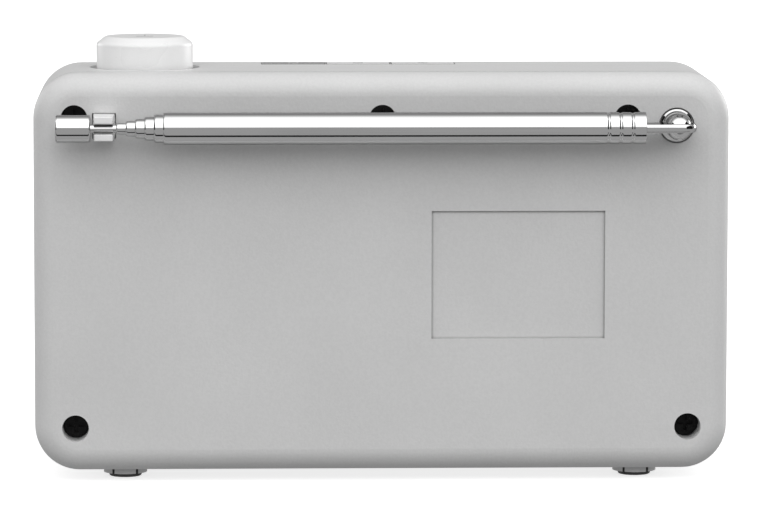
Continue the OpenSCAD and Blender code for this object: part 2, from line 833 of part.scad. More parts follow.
module turret_washer() {
  color(metal) difference() {
    rod_y(turret_x, turret_z, washer_d, bush_end_y - slip - washer_t, bush_end_y - slip);
    rod_y(turret_x, turret_z, swivel_d + 0.02, bush_end_y - slip - washer_t - over, bush_end_y);
  }
}

module tilt_pin() {
  reach = fork_d / 2 - 0.25;
  color(metal) rod_z(turret_x, antenna_y, tilt_pin_d, turret_z - reach, turret_z + reach);
}

module antenna_tongue() {
  color(metal) difference() {
    union() {
      translate([turret_x, antenna_y, turret_z - tongue_t / 2]) linear_extrude(tongue_t) {
        circle(tongue_r);
        translate([0, -main_r]) square([tongue_len, 2 * main_r]);
      }
      rod_x(antenna_y, turret_z, plug_d, tube_start - eps, tube_start + plug_len - 0.5);
    }
    rod_z(turret_x, antenna_y, tilt_pin_d + 2 * fit, turret_z - 3, turret_z + 3);
  }
}

module antenna_tube(i) {
  r = section_r(i);
  next_r = section_r(i + 1);
  lip_r = next_r + fit;
  bore_r = lip_r + foot_step;
  foot_r = i == 1 ? r : r + foot_step;
  x0 = tail(i);
  x1 = mouth(i);
  edge = 0.2;
  color(metal) along_x(0, antenna_y, turret_z) difference() {
    rotate_extrude() polygon([
      [bore_r, x0], [foot_r, x0], [foot_r, x0 + foot_len], [r, x0 + foot_len + foot_step],
      [r, x1 - edge], [r - edge, x1], [lip_r, x1], [lip_r, x1 - lip_len], [bore_r, x1 - lip_len],
    ]);
  }
}

// The widest section: its root is thicker, crimped by three grooves on the tongue's plug.
module antenna_tube_1() {
  color(metal) difference() {
    union() {
      antenna_tube(1);
      along_x(0, antenna_y, turret_z) difference() {
        translate([0, 0, tube_start]) cylinder(r = main_r, h = plug_len);
        translate([0, 0, tube_start - over]) cylinder(d = plug_d + 2 * fit, h = plug_len + 2 * over);
      }
    }
    for (k = [1:3]) along_x(tube_start + 0.25 + k * groove_pitch, antenna_y, turret_z)
      rotate_extrude() translate([main_r + 0.05, 0]) circle(groove_r, $fn = 24);
  }
}

module antenna_rod() {
  color(metal) along_x(0, antenna_y, turret_z) rotate_extrude() polygon([
    [0, tail(sections)], [rod_r + foot_step, tail(sections)],
    [rod_r + foot_step, tail(sections) + foot_len], [rod_r, tail(sections) + foot_len + foot_step],
    [rod_r, rod_end + cap_len - 2], [0, rod_end + cap_len - 2],
  ]);
}

module antenna_cap() {
  r = cap_d / 2;
  bore = rod_r + 0.02;
  edge = 0.5;
  color(metal) along_x(rod_end, antenna_y, turret_z) rotate_extrude() polygon([
    [bore, 0], [r - edge, 0], [r, edge], [r, cap_len - edge], [r - edge, cap_len],
    [0, cap_len], [0, cap_len - 1.9], [bore, cap_len - 1.9],
  ]);
}

// A thin lead from the solder tag to the tuner, held along the top wall
module antenna_lead() {
  y = pad_inside - 4;
  board_face = main_board_y + main_board_t;
  color(dark) wire([
    [turret_x + 2, pad_inside - tag_t - lead_d / 2, turret_z - tag_arm[1]],
    [turret_x + 5, y, turret_z - 13], [board_x0 - 6, y - 2, turret_z - 13],
    [board_x0 + 6, board_face + 5, board_high - 9], [board_x0 + 6, board_face + fit, board_high - 9],
  ], lead_d);
}

// ---------- speaker ----------

module speaker_basket() {
  y0 = baffle_back + slip;
  y1 = y0 + speaker_depth - magnet_h;
  color(dark) along_basket() difference() {
    rotate_extrude() polygon([
      [cone_d / 2, y0], [speaker_d / 2, y0], [speaker_d / 2, y0 + speaker_flange_t],
      [cone_d / 2 + 1, y0 + speaker_flange_t], [magnet_d / 2, y1 - 1], [magnet_d / 2, y1],
      [8, y1], [8, y1 - 1], [magnet_d / 2 - 1.5, y1 - 1], [cone_d / 2, y0 + speaker_flange_t],
    ]);
    for (a = [0:60:300]) rotate(a) translate([cone_d / 2 - 6, -5, y0 + 3])
      cube([10, 10, y1 - y0 - 5]);
  }
}

module along_basket() {
  translate([-speaker_x, 0, speaker_z]) rotate([-90, 0, 0]) children();
}

module speaker_magnet() {
  y1 = baffle_back + slip + speaker_depth;
  color([0.3, 0.3, 0.32]) {
    rod_y(-speaker_x, speaker_z, magnet_d, y1 - magnet_h + slip, y1 - 1.2);
    rod_y(-speaker_x, speaker_z, magnet_d - 3, y1 - 1.2 - eps, y1);
  }
}

module speaker_cone() {
  y0 = baffle_back + slip;
  deep = speaker_depth - magnet_h - 3;
  edge_r = cone_d / 2 - 0.2;
  roll_r = cone_d / 2 - 3;
  coil_r = 8;
  color([0.18, 0.18, 0.19]) along_basket() rotate_extrude() polygon([
    [edge_r, y0 + 0.2], [roll_r, y0 + 0.2], [coil_r, y0 + deep - 3], [0, y0 + deep - 5],
    [0, y0 + deep - 4], [coil_r - 0.6, y0 + deep], [coil_r, y0 + deep], [roll_r, y0 + 0.9],
    [edge_r, y0 + 0.9],
  ]);
}

module speaker_screws() {
  color(metal) for (a = [45:90:315]) translate([
    -speaker_x + clamp_circle / 2 * cos(a), baffle_back + 4 + slip, speaker_z + clamp_circle / 2 * sin(a)
  ]) screw_y(1.7, 3.6, 5, 1.4);
}

module speaker_leads() {
  y = baffle_back + speaker_depth - magnet_h - 5;
  board_face = main_board_y + main_board_t;
  color("firebrick") for (k = [0, 1]) {
    z = speaker_z - 8 + 3 * k;
    wire([
      [-speaker_x + 22, y, z + 2], [board_x0 - 4, board_face + 5, z],
      [board_x0 + 4, board_face + 4, z], [board_x0 + 4, board_face + fit, z],
    ], lead_d);
  }
}

// ---------- display and boards ----------

module display_module() {
  w = display_w + 2 * module_margin;
  h = display_h + 2 * module_margin;
  color([0.2, 0.22, 0.25])
    slab(display_x, display_z, w, h, baffle_back + slip, baffle_back + slip + module_t);
}

module display_board() {
  w = display_w + 2 * display_board_margin;
  h = display_h + 2 * display_board_margin;
  color(board_green) slab(display_x, display_z, w, h, display_board_y, display_board_y + board_t);
}

// Flat ribbon folded between the display's board and the main board
module display_ribbon() {
  y0 = display_board_y + board_t + 0.05;
  y1 = main_board_y - 0.05;
  t = ribbon_t;
  tail_len = 4;
  drop = 8;
  color([0.85, 0.8, 0.65]) translate([display_x - ribbon_w / 2, 0, mid_z - 12])
    rotate([90, 0, 90]) linear_extrude(ribbon_w) polygon([
      [y0, 0], [y0 + t, 0], [y0 + t, -tail_len], [y1 - t, -drop], [y1 - t, -tail_len],
      [y1, -tail_len], [y1, -drop - t], [y0, -tail_len - t],
    ]);
}

module main_board() {
  color(board_green) translate([0, main_board_y + main_board_t, 0]) rotate([90, 0, 0])
    linear_extrude(main_board_t) difference() {
      union() {
        translate([board_x0, board_low]) square([board_x1 - board_x0, board_high - board_low]);
        translate([board_x1 - 1, wing_low]) square([wing_x - board_x1 + 1, wing_high - wing_low]);
      }
      for (p = board_holes) translate(p) circle(d = 3, $fn = 32);
    }
}

module board_screws() {
  color(metal) for (p = board_holes) {
    translate([p[0], main_board_y + main_board_t + slip, p[1]]) screw_y(2.2, 6, 4.6, 1.6);
    difference() {
      rod_y(p[0], p[1], 4.6, display_board_y + board_t + slip, main_board_y - slip);
      rod_y(p[0], p[1], 2.4, main_board_y - 7, main_board_y);
    }
  }
}

module tuner_shield() {
  y0 = main_board_y + main_board_t + 0.02;
  color(metal) difference() {
    slab(board_x0 + 25, board_high - 13, 20, 16, y0, y0 + 3.2);
    slab(board_x0 + 25, board_high - 13, 19.4, 15.4, y0 - over, y0 + 2.9);
  }
}

module board_chips() {
  y0 = main_board_y + main_board_t + 0.02;
  color(dark) {
    slab(board_x0 + 14, board_low + 22, 12, 12, y0, y0 + 1.2);
    slab(board_x0 + 34, board_low + 20, 8, 6, y0, y0 + 1.4);
    slab(board_x0 + 12, board_low + 8.5, 6, 5, y0, y0 + 1.4);
  }
}

module board_capacitors() {
  y0 = main_board_y + main_board_t + 0.02;
  color([0.15, 0.2, 0.45]) {
    for (k = [0:2]) rod_y(board_x0 + 24 + 7 * k, board_low + 8, 5, y0, y0 + 7);
    rod_y(board_x0 + 38, board_low + 30, 6.3, y0, y0 + 7.5);
  }
}

module usb_socket() {
  x1 = side_x - 0.4;
  length = 7.4;
  y = socket_y + 0.2;
  color(metal) difference() {
    translate([x1 - length, y, usb_z - usb_h / 2]) cube([length, usb_t, usb_h]);
    translate([x1 - length + 1, y + 0.35, usb_z - usb_h / 2 + 0.35]) cube([length, usb_t - 0.7, usb_h - 0.7]);
  }
  color(dark) translate([x1 - length + 0.9, y + usb_t / 2 - 0.35, usb_z - 3]) cube([length - 1.6, 0.7, 6]);
}

module headphone_jack() {
  x1 = side_x - 0.3;
  box_end = side_x - wall - 0.3;
  box_start = x1 - jack_len - 2;
  color(dark) difference() {
    union() {
      translate([box_start, socket_y + 0.1, jack_z - 3.4]) cube([box_end - box_start, 6.2, 6.8]);
      rod_x(jack_y, jack_z, jack_nose_d, box_end - eps, x1);
    }
    rod_x(jack_y, jack_z, jack_bore, x1 - jack_len, x1 + over);
  }
}

// ---------- battery ----------

module battery_holder() {
  w = cell_d + 2 * cell_room;
  out_w = w + 2 * holder_wall;
  out_l = holder_in + 2 * holder_wall;
  half = holder_in / 2;
  z0 = base_z + wall + slip;
  floor_z = z0 + holder_wall;
  color(dark) difference() {
    translate([holder_x - out_l / 2, cell_y - out_w / 2, z0])
      cube([out_l, out_w, holder_wall + cell_d * holder_grip]);
    translate([holder_x - half, cell_y - w / 2, floor_z]) cube([holder_in, w, cell_d]);
    translate([holder_x - half / 2, cell_y - out_w, floor_z + 4]) cube([half, 2 * out_w, cell_d]);
  }
}

module battery_cell() {
  color([0.2, 0.45, 0.75]) {
    rod_x(cell_y, cell_z, cell_d, holder_x - cell_len / 2, holder_x + cell_len / 2 - 1);
    rod_x(cell_y, cell_z, 6, holder_x + cell_len / 2 - 1 - eps, holder_x + cell_len / 2);
  }
}

module battery_contacts() {
  z0 = base_z + wall + holder_wall + 2;
  half = holder_in / 2;
  color(metal) for (s = [-1, 1]) {
    translate([holder_x + s * (half - 0.3) - 0.2, cell_y - 4, z0]) cube([0.4, 8, 11]);
    rod_x(cell_y, cell_z, 5, holder_x + s * (half - 1.2) - 0.8, holder_x + s * (half - 1.2) + 0.8);
  }
}

module battery_leads() {
  z = cell_z + 6.5;
  board_face = main_board_y + main_board_t;
  start_x = holder_x + holder_in / 2 + holder_wall + lead_d;
  color("firebrick") for (k = [0, 1]) wire([
    [start_x, cell_y - 2.4 + 2.4 * k, z], [board_x0 + 4, board_face + 4, z + 6 + 3 * k],
    [board_x0 + 4, board_face + fit, z + 6 + 3 * k],
  ], lead_d);
}

rear_cover();
front_housing();
front_panel();
speaker_cloth();
display_window();
rubber_feet();
cover_screws();
antenna_clip();
knob_ring();
tuning_knob();
encoder_shaft();
encoder_plunger();
encoder_dome();
encoder_body();
encoder_bush();
encoder_nut();
encoder_board();
key(0, [0.3, 0.31, 0.33]);  // power_key
key(1, white);  // menu_key
key(2, white);  // preset_key
key_switches();
key_board();
antenna_bush();
bush_nut();
solder_tag();
antenna_lead();
antenna_turret();
turret_washer();
tilt_pin();
antenna_tongue();
antenna_tube_1();
antenna_tube(2);  // antenna_tube_2
antenna_tube(3);  // antenna_tube_3
antenna_tube(4);  // antenna_tube_4
antenna_tube(5);  // antenna_tube_5
antenna_tube(6);  // antenna_tube_6
antenna_rod();
antenna_cap();
speaker_basket();
speaker_magnet();
speaker_cone();
speaker_screws();
speaker_leads();
display_module();
display_board();
display_ribbon();
main_board();
board_screws();
tuner_shield();
board_chips();
board_capacitors();
usb_socket();
headphone_jack();
battery_holder();
battery_cell();
battery_contacts();
battery_leads();
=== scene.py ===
import json
import math

import bmesh
import bpy
from mathutils import Matrix, Vector


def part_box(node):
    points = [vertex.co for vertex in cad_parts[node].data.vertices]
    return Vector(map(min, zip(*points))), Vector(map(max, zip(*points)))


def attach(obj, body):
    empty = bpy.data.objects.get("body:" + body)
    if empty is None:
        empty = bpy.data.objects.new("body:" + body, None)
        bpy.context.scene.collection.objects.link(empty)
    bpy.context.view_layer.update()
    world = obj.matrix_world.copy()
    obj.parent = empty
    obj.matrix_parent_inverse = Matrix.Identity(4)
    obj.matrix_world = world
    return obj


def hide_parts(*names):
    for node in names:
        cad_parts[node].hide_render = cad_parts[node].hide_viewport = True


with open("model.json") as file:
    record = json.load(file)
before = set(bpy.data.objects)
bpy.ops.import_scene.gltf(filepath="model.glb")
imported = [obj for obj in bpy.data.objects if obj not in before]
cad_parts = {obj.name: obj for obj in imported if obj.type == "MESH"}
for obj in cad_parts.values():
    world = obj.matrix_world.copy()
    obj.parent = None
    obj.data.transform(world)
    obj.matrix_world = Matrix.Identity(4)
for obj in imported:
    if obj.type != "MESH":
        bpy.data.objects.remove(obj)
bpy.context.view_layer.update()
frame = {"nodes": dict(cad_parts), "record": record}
mm = 0.001


def addNode(tree, kind, **settings):
    node = tree.nodes.new("ShaderNode" + kind)
    for name, value in settings.items():
        setattr(node, name, value)
    return node


def feed(tree, socket, value):
    # a socket takes either another socket or a plain value
    if isinstance(value, bpy.types.NodeSocket):
        tree.links.new(value, socket)
    else:
        socket.default_value = value


def maths(tree, operation, first, second=0.0, clamp=False):
    node = addNode(tree, "Math", operation=operation, use_clamp=clamp)
    feed(tree, node.inputs[0], first)
    feed(tree, node.inputs[1], second)
    return node.outputs[0]


def remap(tree, value, low, high, toLow=0.0, toHigh=1.0):
    node = addNode(tree, "MapRange", clamp=True)
    feed(tree, node.inputs["Value"], value)
    node.inputs["From Min"].default_value = low
    node.inputs["From Max"].default_value = high
    node.inputs["To Min"].default_value = toLow
    node.inputs["To Max"].default_value = toHigh
    return node.outputs["Result"]


def blendColour(tree, mask, first, second, how="MIX"):
    node = addNode(tree, "Mix", data_type="RGBA", blend_type=how)
    feed(tree, node.inputs["Factor"], mask)
    feed(tree, node.inputs["A"], first)
    feed(tree, node.inputs["B"], second)
    return node.outputs["Result"]


def noise(tree, where, scale, detail=2.0, rough=0.5):
    node = addNode(tree, "TexNoise")
    feed(tree, node.inputs["Vector"], where)
    feed(tree, node.inputs["Scale"], scale)
    node.inputs["Detail"].default_value = detail
    node.inputs["Roughness"].default_value = rough
    return node.outputs["Fac"]


def objectPoint(tree, stretch=(1, 1, 1), turn=(0, 0, 0)):
    place = addNode(tree, "TexCoord").outputs["Object"]
    mapping = addNode(tree, "Mapping")
    tree.links.new(place, mapping.inputs["Vector"])
    mapping.inputs["Scale"].default_value = stretch
    mapping.inputs["Rotation"].default_value = turn
    return mapping.outputs["Vector"]


def startGroup(name, inputs, outputs):
    tree = bpy.data.node_groups.new(name, "ShaderNodeTree")
    for label, value in inputs.items():
        socket = tree.interface.new_socket(label, in_out="INPUT", socket_type="NodeSocketFloat")
        socket.default_value = value
    for label in outputs:
        tree.interface.new_socket(label, in_out="OUTPUT", socket_type="NodeSocketFloat")
    return tree, tree.nodes.new("NodeGroupInput").outputs, tree.nodes.new("NodeGroupOutput").inputs


# slow change of tone over a surface, as handling and moulding leave it
def buildPatches():
    tree, given, result = startGroup("patches", {"Scale": 40.0}, ["Mask"])
    cloud = noise(tree, objectPoint(tree), given["Scale"], 3.0, 0.55)
    tree.links.new(remap(tree, cloud, 0.32, 0.68), result["Mask"])
    return tree


# the pitted skin of a spark-eroded mould: small bumps with finer ones between them
def buildGrain():
    tree, given, result = startGroup("mouldGrain", {"Scale": 2000.0}, ["Height", "Pits"])
    point = objectPoint(tree)
    coarse = noise(tree, point, given["Scale"], 2.0, 0.6)
    cells = addNode(tree, "TexVoronoi", feature="SMOOTH_F1")
    tree.links.new(point, cells.inputs["Vector"])
    feed(tree, cells.inputs["Scale"], maths(tree, "MULTIPLY", given["Scale"], 1.3))
    cells.inputs["Smoothness"].default_value = 0.6
    height = maths(tree, "MULTIPLY_ADD", cells.outputs["Distance"], 0.6)
    tree.links.new(coarse, height.node.inputs[2])
    tree.links.new(height, result["Height"])
    tree.links.new(remap(tree, coarse, 0.35, 0.65), result["Pits"])
    return tree


# where an edge is sharp enough for hands and bags to rub it
def buildEdgeWear():
    tree, given, result = startGroup("edgeWear", {"Radius": 0.0006, "Amount": 0.5, "Scale": 900.0}, ["Mask"])
    rounded = addNode(tree, "Bevel", samples=4)
    tree.links.new(given["Radius"], rounded.inputs["Radius"])
    match = addNode(tree, "VectorMath", operation="DOT_PRODUCT")
    tree.links.new(rounded.outputs["Normal"], match.inputs[0])
    tree.links.new(addNode(tree, "NewGeometry").outputs["Normal"], match.inputs[1])
    edge = remap(tree, match.outputs["Value"], 0.98, 0.75)
    broken = remap(tree, noise(tree, objectPoint(tree), given["Scale"], 3.0, 0.6), 0.42, 0.62)
    rubbed = maths(tree, "MULTIPLY", edge, broken)
    tree.links.new(maths(tree, "MULTIPLY", rubbed, given["Amount"], clamp=True), result["Mask"])
    return tree


# painted shade in seams, corners and along recesses: an occlusion mask that marks where little light reaches
def buildPaintedCreviceShade():
    tree, given, result = startGroup("paintedCreviceShade", {"Reach": 0.0007, "Amount": 0.6}, ["Mask"])
    shut = addNode(tree, "AmbientOcclusion", samples=6)
    tree.links.new(given["Reach"], shut.inputs["Distance"])
    closed = remap(tree, shut.outputs["AO"], 0.9, 0.45)
    tree.links.new(maths(tree, "MULTIPLY", closed, given["Amount"], clamp=True), result["Mask"])
    return tree


# fine dust that settles on what faces up
def buildDust():
    tree, given, result = startGroup("dust", {"Amount": 0.3, "Scale": 1200.0}, ["Mask"])
    facing = addNode(tree, "SeparateXYZ")
    tree.links.new(addNode(tree, "NewGeometry").outputs["Normal"], facing.inputs["Vector"])
    level = remap(tree, facing.outputs["Z"], 0.55, 1.0)
    specks = remap(tree, noise(tree, objectPoint(tree), given["Scale"], 4.0, 0.7), 0.5, 0.75)
    settled = maths(tree, "MULTIPLY", level, specks)
    tree.links.new(maths(tree, "MULTIPLY", settled, given["Amount"], clamp=True), result["Mask"])
    return tree


# long fine lines of polishing or brushing, mostly along X
def buildHairlines():
    tree, given, result = startGroup("hairlines", {"Scale": 900.0}, ["Height", "Mask"])
    along = noise(tree, objectPoint(tree, (0.03, 1, 1)), given["Scale"], 3.0, 0.6)
    across = noise(tree, objectPoint(tree, (0.05, 1, 1), (0.2, 0.4, 0.7)), given["Scale"], 2.0, 0.5)
    scratch = remap(tree, across, 0.66, 0.72)
    tree.links.new(maths(tree, "ADD", along, maths(tree, "MULTIPLY", scratch, 0.5)), result["Height"])
    tree.links.new(maths(tree, "MAXIMUM", remap(tree, along, 0.4, 0.7), scratch), result["Mask"])
    return tree


groups = {
    "patches": buildPatches(),
    "grain": buildGrain(),
    "edgeWear": buildEdgeWear(),
    "paintedCreviceShade": buildPaintedCreviceShade(),
    "dust": buildDust(),
    "hairlines": buildHairlines(),
}


def useGroup(tree, name, **values):
    node = tree.nodes.new("ShaderNodeGroup")
    node.node_tree = groups[name]
    for label, value in values.items():
        node.inputs[label].default_value = value
    return node.outputs


def startMaterial(name):
    material = bpy.data.materials.new(name)
    material.use_nodes = True
    tree = material.node_tree
    return material, tree, tree.nodes["Principled BSDF"]


def addBump(tree, shader, height, depth):
    bump = addNode(tree, "Bump")
    tree.links.new(height, bump.inputs["Height"])
    bump.inputs["Distance"].default_value = depth
    bump.inputs["Strength"].default_value = 1.0
    tree.links.new(bump.outputs["Normal"], shader.inputs["Normal"])


def grey(level, warm=0.0):
    return (level + warm, level, level - warm, 1.0)


# colour, its darker patches, rubbed edges, roughness range, grain size and depth, wear and dust,
# and the glow of what is lit
plastics = {
    "shell_grey": dict(colour=grey(0.70), deep=grey(0.665), worn=grey(0.78), rough=(0.42, 0.52),
                       grain=1700, depth=0.00003, wear=0.35, dust=0.12),
    "white_plastic": dict(colour=grey(0.90), deep=grey(0.87), worn=grey(0.95), rough=(0.26, 0.36),
                          grain=2600, depth=0.000006, wear=0.3, dust=0.08),
    "front_white": dict(colour=grey(0.86), deep=grey(0.83), worn=grey(0.93), rough=(0.34, 0.42),
                        grain=1300, depth=0.00001, wear=0.3, dust=0.1),
    "black_plastic": dict(colour=grey(0.045), deep=grey(0.032), worn=grey(0.14), rough=(0.4, 0.55),
                          grain=1900, depth=0.00002, wear=0.5, dust=0.15),
    "key_grey": dict(colour=grey(0.44), deep=grey(0.41), worn=grey(0.52), rough=(0.2, 0.3),
                     grain=2200, depth=0.00001, wear=0.5, dust=0.15),
    "print_grey": dict(colour=grey(0.12), deep=grey(0.1), worn=grey(0.3), rough=(0.4, 0.5),
                       grain=2200, depth=0.000004, wear=0.0, dust=0.1),
    "print_pale": dict(colour=grey(0.5), deep=grey(0.46), worn=grey(0.6), rough=(0.4, 0.5),
                       grain=2200, depth=0.000004, wear=0.0, dust=0.1),
    "print_white": dict(colour=grey(0.82), deep=grey(0.78), worn=grey(0.9), rough=(0.4, 0.5),
                        grain=2200, depth=0.000004, wear=0.0, dust=0.1),
    "screen_ink": dict(colour=(0.55, 0.68, 0.66, 1), deep=(0.5, 0.63, 0.6, 1), worn=(0.6, 0.7, 0.7, 1),
                       rough=(0.3, 0.4), grain=2200, depth=0.000004, wear=0.0, dust=0.0, glow=0.9),
    "rubber": dict(colour=grey(0.04), deep=grey(0.028), worn=grey(0.12), rough=(0.62, 0.8),
                   grain=1500, depth=0.00003, wear=0.6, dust=0.3),
    "cone": dict(colour=grey(0.085), deep=grey(0.06), worn=grey(0.15), rough=(0.75, 0.9),
                 grain=1100, depth=0.00005, wear=0.2, dust=0.3),
    "chip": dict(colour=grey(0.03), deep=grey(0.022), worn=grey(0.1), rough=(0.5, 0.62),
                 grain=2400, depth=0.00001, wear=0.3, dust=0.2),
    "capacitor": dict(colour=(0.05, 0.08, 0.22, 1), deep=(0.04, 0.06, 0.17, 1), worn=(0.2, 0.24, 0.4, 1),
                      rough=(0.25, 0.35), grain=1200, depth=0.00001, wear=0.3, dust=0.2),
    "cell_wrap": dict(colour=(0.09, 0.27, 0.54, 1), deep=(0.07, 0.22, 0.46, 1), worn=(0.4, 0.5, 0.65, 1),
                      rough=(0.2, 0.32), grain=500, depth=0.00002, wear=0.4, dust=0.15),
    "ribbon": dict(colour=(0.62, 0.4, 0.14, 1), deep=(0.5, 0.3, 0.1, 1), worn=(0.75, 0.58, 0.3, 1),
                   rough=(0.25, 0.35), grain=900, depth=0.00001, wear=0.2, dust=0.1),
    "wire_black": dict(colour=grey(0.03), deep=grey(0.022), worn=grey(0.1), rough=(0.35, 0.5),
                       grain=1500, depth=0.00001, wear=0.0, dust=0.2),
    "wire_red": dict(colour=(0.45, 0.035, 0.025, 1), deep=(0.36, 0.025, 0.02, 1), worn=(0.6, 0.2, 0.18, 1),
                     rough=(0.3, 0.45), grain=1500, depth=0.00001, wear=0.0, dust=0.2),
}
dustColour = (0.62, 0.6, 0.57, 1)
# the colour of the painted shade laid into seams, corners and recesses
paintedShadeColour = (0.12, 0.118, 0.115, 1)


def mouldedPlastic(name, look):
    material, tree, shader = startMaterial(name)
    patch = useGroup(tree, "patches", Scale=35.0)["Mask"]
    skin = useGroup(tree, "grain", Scale=look["grain"])
    base = blendColour(tree, patch, look["colour"], look["deep"])
    base = blendColour(tree, maths(tree, "MULTIPLY", skin["Pits"], 0.12), base, look["deep"], "MULTIPLY")
    if look["wear"]:
        rubbed = useGroup(tree, "edgeWear", Amount=look["wear"])["Mask"]
        base = blendColour(tree, rubbed, base, look["worn"])
    settled = useGroup(tree, "dust", Amount=look["dust"])["Mask"]
    base = blendColour(tree, settled, base, dustColour)
    # painted shade: the occlusion mask darkens the colour in seams, corners and recesses
    base = blendColour(tree, useGroup(tree, "paintedCreviceShade")["Mask"], base, paintedShadeColour)
    tree.links.new(base, shader.inputs["Base Color"])
    gloss = remap(tree, patch, 0.0, 1.0, *look["rough"])
    dusty = maths(tree, "MULTIPLY", settled, 0.3)
    tree.links.new(maths(tree, "ADD", gloss, dusty), shader.inputs["Roughness"])
    shader.inputs["IOR"].default_value = 1.5
    if "glow" in look:
        shader.inputs["Emission Color"].default_value = look["colour"]
        shader.inputs["Emission Strength"].default_value = look["glow"]
    addBump(tree, shader, skin["Height"], look["depth"])
    return material


# colour, its duller patches, roughness range, size and depth of the lines, and the tint seen along an edge
metals = {
    "chrome": dict(colour=grey(0.7), dull=grey(0.64), edge=0.42, rough=(0.035, 0.09),
                   lines=900, depth=0.0000002),
    "steel": dict(colour=grey(0.62, 0.01), dull=grey(0.5, 0.01), rough=(0.22, 0.38),
                  lines=700, depth=0.000002),
    "shield": dict(colour=grey(0.7, 0.01), dull=grey(0.58, 0.01), rough=(0.3, 0.45),
                   lines=500, depth=0.000002),
    "black_screw": dict(colour=grey(0.02), dull=grey(0.012), rough=(0.3, 0.45),
                        lines=900, depth=0.000002),
    "magnet": dict(colour=grey(0.16), dull=grey(0.1), rough=(0.4, 0.6), lines=400, depth=0.000004),
}


def platedMetal(name, look):
    material, tree, shader = startMaterial(name)
    shader.inputs["Metallic"].default_value = 1.0
    shader.inputs["Specular Tint"].default_value = grey(look.get("edge", 1.0))
    patch = useGroup(tree, "patches", Scale=60.0)["Mask"]
    lines = useGroup(tree, "hairlines", Scale=look["lines"])
    base = blendColour(tree, maths(tree, "MULTIPLY", patch, lines["Mask"]), look["colour"], look["dull"])
    tree.links.new(base, shader.inputs["Base Color"])
    share = maths(tree, "MULTIPLY_ADD", lines["Mask"], 0.4)
    tree.links.new(maths(tree, "MULTIPLY", patch, 0.6), share.node.inputs[2])
    tree.links.new(remap(tree, share, 0.0, 1.0, *look["rough"]), shader.inputs["Roughness"])
    addBump(tree, shader, lines["Height"], look["depth"])
    return material


def wovenCloth(name):
    # plain weave: two sets of threads, one over the other in turn
    material, tree, shader = startMaterial(name)
    split = addNode(tree, "SeparateXYZ")
    tree.links.new(objectPoint(tree), split.inputs["Vector"])
    threads = 2 * math.pi / (0.55 * mm)
    warp = maths(tree, "SINE", maths(tree, "MULTIPLY", split.outputs["X"], threads))
    weft = maths(tree, "SINE", maths(tree, "MULTIPLY", split.outputs["Z"], threads))
    cross = maths(tree, "MULTIPLY", warp, weft)
    patch = useGroup(tree, "patches", Scale=90.0)["Mask"]
    height = maths(tree, "ABSOLUTE", cross)
    shade = blendColour(tree, remap(tree, cross, -1, 1), grey(0.035), grey(0.1))
    tree.links.new(blendColour(tree, patch, shade, grey(0.05)), shader.inputs["Base Color"])
    tree.links.new(remap(tree, height, 0, 1, 0.95, 0.7), shader.inputs["Roughness"])
    shader.inputs["Sheen Weight"].default_value = 0.3
    addBump(tree, shader, height, 0.00012)
    return material


def clearLens(name):
    material, tree, shader = startMaterial(name)
    smudge = useGroup(tree, "patches", Scale=55.0)["Mask"]
    lines = useGroup(tree, "hairlines", Scale=500.0)
    shader.inputs["Base Color"].default_value = (0.28, 0.3, 0.32, 1)
    shader.inputs["Transmission Weight"].default_value = 1.0
    shader.inputs["IOR"].default_value = 1.49
    tree.links.new(remap(tree, smudge, 0, 1, 0.015, 0.06), shader.inputs["Roughness"])
    addBump(tree, shader, lines["Height"], 0.0000004)
    return material


def solderMask(name):
    # green lacquer over copper tracks on a square grid
    material, tree, shader = startMaterial(name)
    tracks = addNode(tree, "TexBrick")
    tree.links.new(objectPoint(tree, turn=(math.pi / 2, 0, 0)), tracks.inputs["Vector"])
    tracks.inputs["Scale"].default_value = 260.0
    tracks.inputs["Mortar Size"].default_value = 0.03
    tracks.inputs["Color1"].default_value = (0.015, 0.17, 0.055, 1)
    tracks.inputs["Color2"].default_value = (0.02, 0.21, 0.07, 1)
    tracks.inputs["Mortar"].default_value = (0.03, 0.3, 0.1, 1)
    patch = useGroup(tree, "patches", Scale=80.0)["Mask"]
    tree.links.new(
        blendColour(tree, maths(tree, "MULTIPLY", patch, 0.3), tracks.outputs["Color"], (0.01, 0.1, 0.04, 1)),
        shader.inputs["Base Color"])
    tree.links.new(remap(tree, patch, 0, 1, 0.18, 0.32), shader.inputs["Roughness"])
    addBump(tree, shader, tracks.outputs["Fac"], 0.00003)
    return material


def darkScreen(name):
    material, tree, shader = startMaterial(name)
    patch = useGroup(tree, "patches", Scale=45.0)["Mask"]
    tree.links.new(blendColour(tree, patch, (0.03, 0.04, 0.045, 1), (0.045, 0.055, 0.06, 1)),
                   shader.inputs["Base Color"])
    tree.links.new(remap(tree, patch, 0, 1, 0.15, 0.28), shader.inputs["Roughness"])
    addBump(tree, shader, useGroup(tree, "grain", Scale=1500.0)["Height"], 0.000002)
    return material


materials = {name: mouldedPlastic(name, look) for name, look in plastics.items()}
materials.update({name: platedMetal(name, look) for name, look in metals.items()})
materials["cloth"] = wovenCloth("cloth")
materials["lens"] = clearLens("lens")
materials["board"] = solderMask("board")
materials["screen"] = darkScreen("screen")
print("materials:", len(materials))

slotOf = {row["node"]: row["material_slot"] for row in frame["record"]["subparts"]}
for node, part in frame["nodes"].items():
    for slot in part.material_slots:
        slot.material = materials[slotOf[node]]

print("finishes given to the CAD parts")

# from here on, pieces made in place of plain CAD shapes, or added to them


def addPiece(name, mesh, look, body, *stoodFor):
    piece = bpy.data.objects.new(name, mesh)
    bpy.context.scene.collection.objects.link(piece)
    mesh.materials.append(materials[look])
    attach(piece, body)
    if stoodFor:
        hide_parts(*stoodFor)
    return piece


def finishMesh(name, built, sharpest):
    bmesh.ops.remove_doubles(built, verts=built.verts, dist=0.0000005)
    bmesh.ops.recalc_face_normals(built, faces=built.faces)
    mesh = bpy.data.meshes.new(name)
    built.to_mesh(mesh)
    built.free()
    mesh.shade_smooth()
    mesh.set_sharp_from_angle(angle=math.radians(sharpest))
    return mesh


